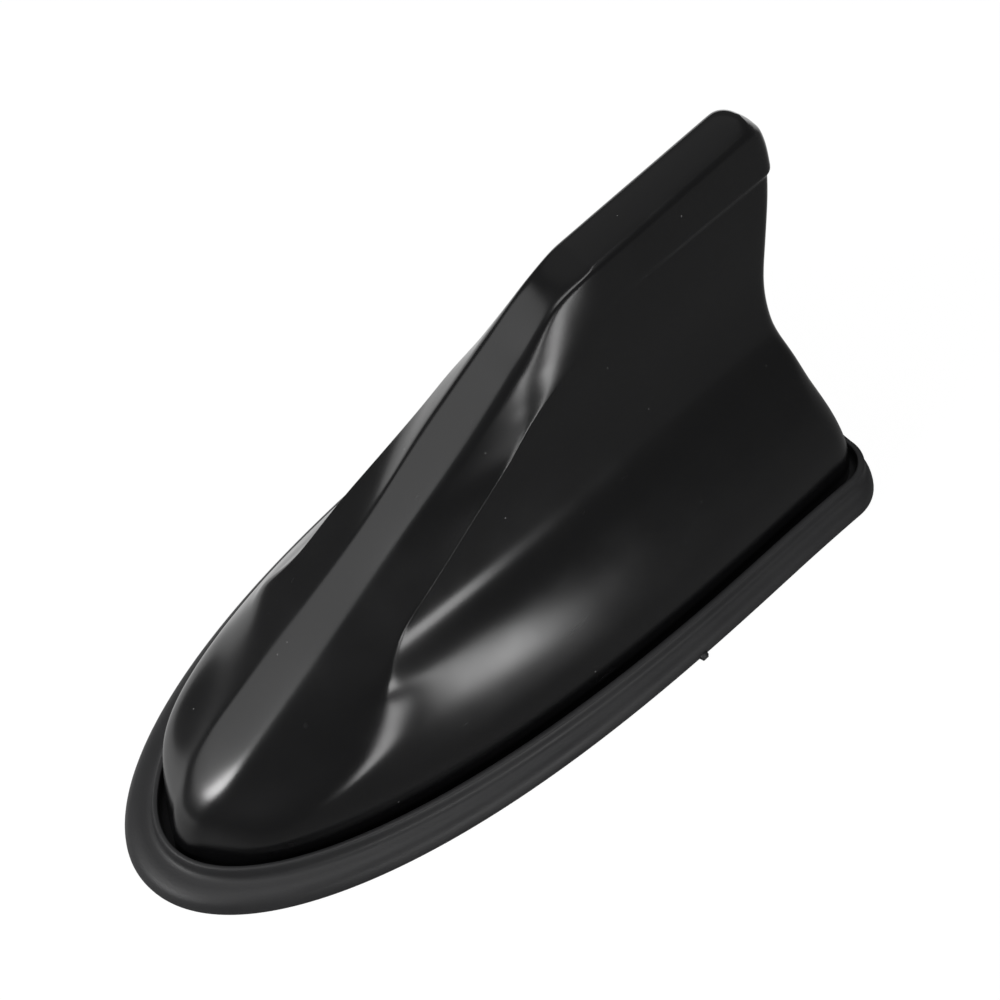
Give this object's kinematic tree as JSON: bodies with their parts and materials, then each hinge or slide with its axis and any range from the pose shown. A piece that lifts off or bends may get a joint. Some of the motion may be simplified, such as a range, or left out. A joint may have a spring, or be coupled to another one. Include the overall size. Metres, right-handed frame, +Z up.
{
  "type": "shark fin aerial",
  "caption": "Shark fin roof aerial for a car: glossy black fin cover on a black rubber skirt, with receiver boards inside.",
  "frame": {"origin": "middle of the underside of the rubber skirt, where it lies on the car roof", "axes": "+Z up from the roof; the nose points along -X and the tail along +X; -Y is the side the picture looks at"},
  "size_m": [0.147, 0.0737, 0.0686],
  "materials": {
    "cover_gloss": "high gloss black",
    "skirt_rubber": "matte black",
    "grommet_rubber": "matte black",
    "plate_plastic": "fine texture",
    "chip_plastic": "matte",
    "foam_tape": "open foam",
    "screw_steel": "zinc plated",
    "can_tin": "tinned",
    "board_laminate": "green solder mask",
    "ceramic_body": "unglazed",
    "copper_wire": "bare copper"
  },
  "bodies": {
    "root": {"fin_cover": "cover_gloss", "skirt": "skirt_rubber", "base_plate": "plate_plastic", "adhesive_pad": "foam_tape", "cover_screws": "screw_steel", "cable_grommet": "grommet_rubber", "amp_board": "board_laminate", "board_screws": "screw_steel", "shield_can": "can_tin", "amp_chip": "chip_plastic", "chip_capacitors": "ceramic_body", "chip_inductors": "chip_plastic", "lead_socket": "can_tin", "fin_board": "board_laminate", "antenna_track": "copper_wire", "board_holder": "plate_plastic", "loading_coil": "copper_wire", "link_wire": "copper_wire", "crystal_can": "screw_steel", "foam_block": "foam_tape", "earth_spring": "screw_steel", "solder_joints": "can_tin"}
  },
  "joints": []
}
